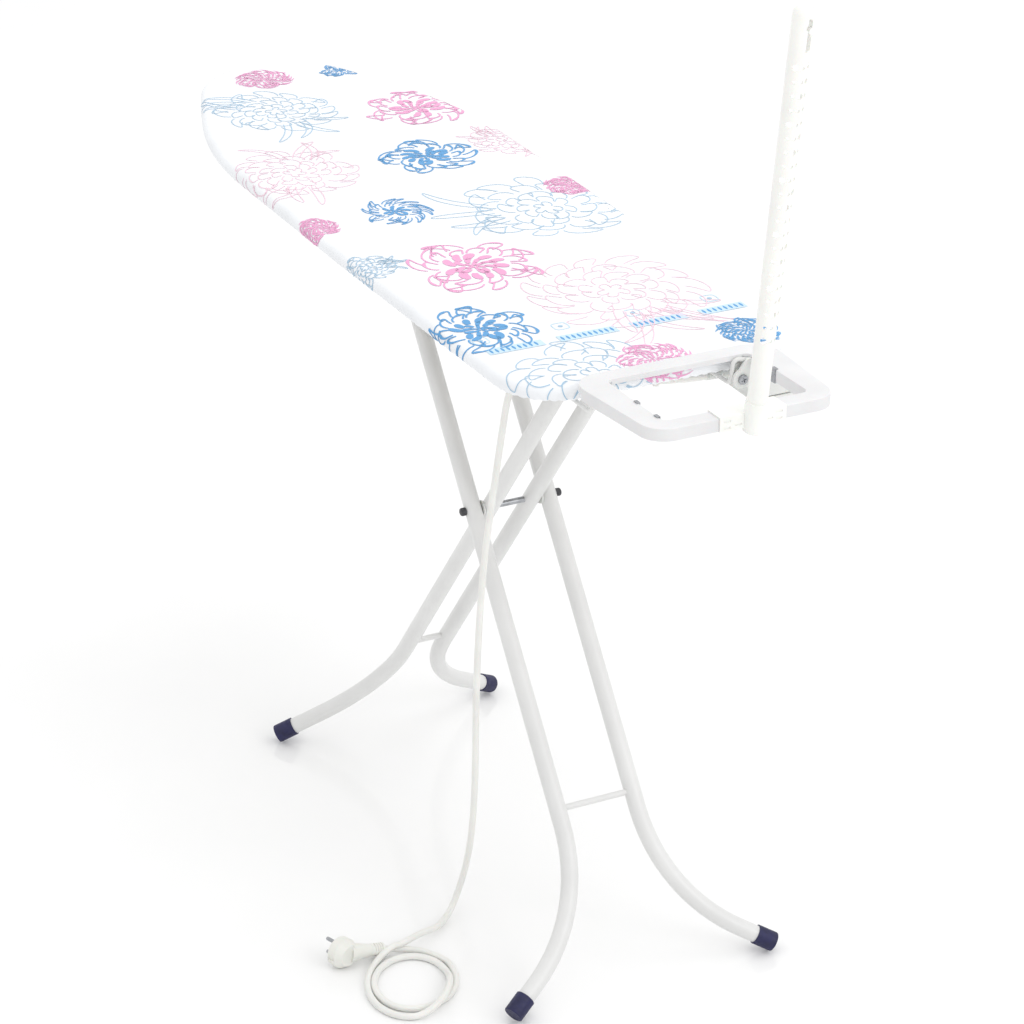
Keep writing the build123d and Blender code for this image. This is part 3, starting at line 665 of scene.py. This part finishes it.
def spiky(ink, x, y, radius, draw, weight):
    """A bloom of many fine crescents."""
    centre = np.array((BOARD_X + x, y))
    turn = draw.uniform(0, math.tau)
    for ring in range(7):
        count = 7 + 4 * ring
        low = radius * (0.04 + 0.125 * ring)
        high = radius * (0.24 + 0.126 * ring)
        for leaf in range(count):
            angle = turn + math.tau * (leaf + 0.5 * (ring % 2)) / count + draw.uniform(-0.06, 0.06)
            bend = draw.uniform(0.25, 0.5) * (1 if leaf % 5 else -1)
            steps = np.linspace(0, 1, 9)
            reach = low + (high * draw.uniform(0.92, 1.08) - low) * steps
            angles = angle + bend * steps**2
            line = centre + np.stack([reach * np.cos(angles), reach * np.sin(angles)], axis=1)
            ink.ribbon(line, weight * np.sin(np.pi * (0.12 + 0.84 * steps)))


def trails(ink, x, y, radius, draw, heading, count, width):
    """Long loose petals that stream away from a bloom."""
    centre = (BOARD_X + x, y)
    for i in range(count):
        angle = heading + (i - (count - 1) / 2) * 0.24
        tip = radius * draw.uniform(1.25, 1.75)
        curl = draw.uniform(-0.5, 0.5)
        loop = petal_loop(centre, angle, radius * 0.35, tip, radius * 0.085, curl, 40)
        ink.ribbon(loop, np.full(len(loop), width))


def label_bar(inks, x, low, high):
    """A pale band with a row of plain lozenges, across the board."""
    middle = BOARD_X + x
    ends = np.linspace(low, high, 24)
    inks["wash"].ribbon([(middle, y) for y in ends], np.full(24, 17 * MM))
    for y in np.arange(low + 5 * MM, high - 3 * MM, 7.2 * MM):
        steps = np.linspace(-1, 1, 7)
        line = [(middle + s * 5.6 * MM, y) for s in steps]
        inks["blue"].ribbon(line, 3.6 * MM * np.cos(steps * 1.35))


def badge(inks, x, y):
    """A rounded square outline round a plain dot."""
    corner = 9.5 * MM
    angles = np.linspace(0, math.tau, 33)
    squarish = [abs(math.cos(a)) ** 4 + abs(math.sin(a)) ** 4 for a in angles]
    line = [
        (BOARD_X + x + corner * math.cos(a) / s**0.25, y + corner * math.sin(a) / s**0.25)
        for a, s in zip(angles, squarish)
    ]
    inks["wash"].ribbon(line, np.full(len(line), 1.5 * MM))
    steps = np.linspace(-1, 1, 9)
    dot = [(BOARD_X + x + s * 3 * MM, y) for s in steps]
    inks["pale_blue"].ribbon(dot, 6 * MM * np.sqrt(np.clip(1 - steps**2, 0.01, 1)))


BOLD = [
    ("pink", -332, 126, 66),
    ("pink", 228, -62, 75),
    ("blue", -150, 54, 60),
    ("blue", 407, -144, 62),
]
MEDIUM = [("blue", 17, -69, 44), ("blue", -522, 96, 26)]
SPIKY = [
    ("pink", -531, -15, 40),
    ("pink", 26, -185, 32),
    ("pink", 28, 173, 33),
    ("pink", 571, -3, 46),
    ("blue", 545, 136, 38),
]
OUTLINED = [
    ("pale_blue", -399, -54, 75),
    ("pale_blue", 175, -184, 36),
    ("pale_blue", 88, 110, 100),
    ("pale_blue", 580, -84, 92),
    ("pale_pink", -166, -127, 80),
    ("pale_pink", -158, 182, 50),
    ("pale_pink", 368, 52, 102),
]
BARS = [(473, -168, -96), (473, -76, 0), (473, 20, 92), (473, 112, 172)]
BADGES = [(439, -160), (439, -56), (439, 40), (439, 144)]
LIFTS = {"wash": 0.10, "pale_pink": 0.13, "pale_blue": 0.13, "pink": 0.16, "blue": 0.19}


def covered(point, cuts):
    return any((point[0] - x) ** 2 + (point[1] - y) ** 2 < r * r for x, y, r in cuts)


def print_cover():
    inks = {name: Ink() for name in INKS}
    draw = random.Random(11)
    for colour, x, y, radius in OUTLINED:
        bloom(inks[colour], x * MM, y * MM, radius * MM, draw, "outline")
        for heading in (draw.uniform(0, math.pi), draw.uniform(math.pi, math.tau)):
            trails(inks[colour], x * MM, y * MM, radius * MM, draw, heading, 4, 1.3 * MM)
    behind = {name: len(inks[name].quads) for name in inks}
    for colour, x, y, radius in BOLD:
        bloom(inks[colour], x * MM, y * MM, radius * MM, draw, "bold")
    for colour, x, y, radius in MEDIUM:
        bloom(inks[colour], x * MM, y * MM, radius * MM, draw, "medium")
    for colour, x, y, radius in SPIKY:
        spiky(inks[colour], x * MM, y * MM, radius * MM, draw, 2.6 * MM)
    for x, low, high in BARS:
        label_bar(inks, x * MM, low * MM, high * MM)
    for x, y in BADGES:
        badge(inks, x * MM, y * MM)
    cuts = [(BOARD_X + x * MM, y * MM, r * 0.97 * MM) for _, x, y, r in BOLD + MEDIUM + SPIKY]
    printed = []
    for name, ink in inks.items():
        if not ink.quads:
            continue
        flat = np.array(ink.points)
        depth = nearest_edge(flat)[0]
        quads = []
        for i, quad in enumerate(ink.quads):
            if min(depth[list(quad)]) < -2.3 * RIM_R + RIM_R:
                continue
            if i < behind[name] and covered(flat[list(quad)].mean(0), cuts):
                continue
            quads.append(quad)
        used = sorted({c for quad in quads for c in quad})
        index = {old: new for new, old in enumerate(used)}
        laid = on_cover(flat[used], LIFTS[name] * MM)
        faces = [[index[c] for c in quad] for quad in quads]
        made = mesh_object(f"print_{name}", laid, faces, "cover_cotton", material=INKS[name])
        printed.append(made)
    return printed


# Mains lead ---------------------------------------------------------------------------------

CORD_D = 8.5 * MM
COIL_MIDDLE = (461.0, -260.0)
COIL_WIDE = (76.0, 55.5)
COIL_NARROW = (58.5, 47.0)
COIL_HEADING = math.radians(-27.3)
FLOOR_LIE = 4.35
PASS_OVER = 14.2
LEAD_POINTS = [
    (573, 86, 806.7),
    (573, 60, 806.7),
    (566, 24, 806.7),
    (552, -14, 806.7),
    (546, -62, 806.7),
    (534, -104, 806.7),
    (506, -128, 806),
    (476, -132.5, 799),
    (450, -129, 773),
    (436, -129, 720),
    (411, -128, 625),
    (388, -128, 525),
    (374, -127, 425),
    (368, -127, 325),
    (366, -126, 225),
    (360, -126, 145),
    (347, -127, 82),
    (336, -132, 39),
    (339, -144, 14),
    (350, -158, 7),
    (367, -181, 7),
    (378, -203, 14),
    (385, -222, 15),
    (391.5, -243, 14.2),
]
TAIL_POINTS = [(409, -213, 4.3), (396, -226, 4.3), (388, -244, 6.0), (384.5, -264, 9.6)]


def ease(share):
    share = min(max(share, 0), 1)
    return share * share * (3 - 2 * share)


def coil_points():
    """Two turns on the floor. The first starts wide and passes over the second where it moves inside it."""
    points = []
    for degrees in range(206, 866, 15):
        inside = ease((degrees - 385) / 75) - ease((degrees - 745) / 75)
        along, across = (w + (n - w) * inside for w, n in zip(COIL_WIDE, COIL_NARROW))
        over = max(1 - ease((abs(degrees - 422) - 14) / 42), 1 - ease((degrees - 198) / 50))
        height = FLOOR_LIE + (PASS_OVER - FLOOR_LIE) * over
        angle = math.radians(degrees)
        u, v = along * math.cos(angle), across * math.sin(angle)
        x = COIL_MIDDLE[0] + u * math.cos(COIL_HEADING) - v * math.sin(COIL_HEADING)
        y = COIL_MIDDLE[1] + u * math.sin(COIL_HEADING) + v * math.cos(COIL_HEADING)
        points.append((x, y, height))
    return points


def row_frame(point):
    return Vector((point[0] * MM + BOARD_X, point[1] * MM, point[2] * MM))


def mains_lead():
    route = [row_frame(p) for p in LEAD_POINTS + coil_points() + TAIL_POINTS]
    data = bpy.data.curves.new("mains_lead", "CURVE")
    data.dimensions = "3D"
    data.bevel_depth = CORD_D / 2
    data.bevel_resolution = 5
    data.resolution_u = 8
    data.use_fill_caps = True
    spline = data.splines.new("NURBS")
    spline.points.add(len(route) - 1)
    for point, place in zip(spline.points, route):
        point.co = (*place, 1)
    spline.order_u = 3
    spline.use_endpoint_u = True
    made = bpy.data.objects.new("mains_lead", data)
    bpy.context.scene.collection.objects.link(made)
    data.materials.append(MATERIALS["cord_pvc"])
    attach(made, "board")
    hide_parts("cord_lead", "cord_tail", "cord_coil")
    return made


def turned(name, start, end, profile, slot, around=28, body="board"):
    """A turned piece along a line: profile is pairs of share along it and radius."""
    start, end = Vector(start), Vector(end)
    axis = end - start
    across = axis.orthogonal().normalized()
    other = axis.normalized().cross(across)
    rows = []
    for share, radius in profile:
        centre = start + axis * share
        for turn in range(around):
            angle = math.tau * turn / around
            rows.append(centre + across * (radius * math.cos(angle)) + other * (radius * math.sin(angle)))
    faces = grid_faces(len(profile), around, closed=True)
    faces += [list(reversed(range(around))), [(len(profile) - 1) * around + t for t in range(around)]]
    return mesh_object(name, rows, faces, slot, body=body)


def exit_sleeve():
    """The strain relief where the lead leaves the gland: tapered, with ribs."""
    start = row_frame(LEAD_POINTS[0]) + Vector((0, 2.0 * MM, 0))
    end = row_frame(LEAD_POINTS[1]) + Vector((0, 3 * MM, 0))
    profile = [(0, 5.4 * MM)]
    for rib in range(6):
        share = 0.08 + rib * 0.15
        radius = (5.4 - 0.13 * rib) * MM
        groove = radius - 0.6 * MM
        profile += [(share, radius), (share + 0.02, groove), (share + 0.07, groove), (share + 0.09, radius)]
    profile += [(1.0, 4.45 * MM)]
    return turned("exit_sleeve", start, end, profile, "white_plastic")


# Studio -------------------------------------------------------------------------------------


def camera():
    data = bpy.data.cameras.new("camera")
    data.sensor_width = 36
    data.lens = LENS_MM
    data.clip_end = 50
    made = bpy.data.objects.new("camera", data)
    bpy.context.scene.collection.objects.link(made)
    yaw, pitch, roll = CAMERA_YAW, CAMERA_PITCH, CAMERA_ROLL
    flat = math.cos(pitch)
    ahead = Vector((math.cos(yaw) * flat, math.sin(yaw) * flat, math.sin(pitch)))
    level = Vector((math.sin(yaw), -math.cos(yaw), 0))
    above = level.cross(ahead)
    right = math.cos(roll) * level + math.sin(roll) * above
    upward = -math.sin(roll) * level + math.cos(roll) * above
    axes = (right, upward, -ahead, CAMERA_AT)
    made.matrix_world = Matrix([[axis[i] for axis in axes] for i in range(3)] + [(0, 0, 0, 1)])
    bpy.context.scene.camera = made


def floor():
    half = 9
    corners = [(-half, -half, 0), (half, -half, 0), (half, half, 0), (-half, half, 0)]
    made = mesh_object("floor", corners, [(0, 1, 2, 3)], None, body=None, material=floor_material())
    made.location.z = -0.2 * MM


def floor_material():
    made = Shader("studio floor", (0.95, 0.95, 0.95), 0.07)
    made.tint(made.noise(0.4), 0.99, 1.01).gloss(made.noise(0.3), 0.02)
    return made.material


def area_light(name, place, aim, size, power, colour=(1, 1, 1)):
    data = bpy.data.lights.new(name, "AREA")
    data.shape = "DISK"
    data.size = size
    data.energy = power
    data.color = colour
    made = bpy.data.objects.new(name, data)
    bpy.context.scene.collection.objects.link(made)
    made.location = place
    made.rotation_mode = "QUATERNION"
    made.rotation_quaternion = (Vector(aim) - Vector(place)).to_track_quat("-Z", "Y")


def studio():
    world = bpy.data.worlds.new("studio")
    world.use_nodes = True
    world.node_tree.nodes["Background"].inputs["Color"].default_value = (1, 1, 1, 1)
    world.node_tree.nodes["Background"].inputs["Strength"].default_value = 1.0
    bpy.context.scene.world = world
    bpy.context.scene.view_settings.view_transform = "Standard"
    middle = (0, 0, 0.5)
    area_light("top", (0.2, 0.9, 4.6), middle, 3.6, 30)
    area_light("key", (3.6, 1.4, 2.6), middle, 2.4, 25)


dress_frame()
cloth, cut_area = cover_sheet()
hem = drawstring()
pad_sheet()
expanded_mesh()
printed = print_cover()
sleeve = exit_sleeve()
mains_lead()
camera()
floor()
studio()
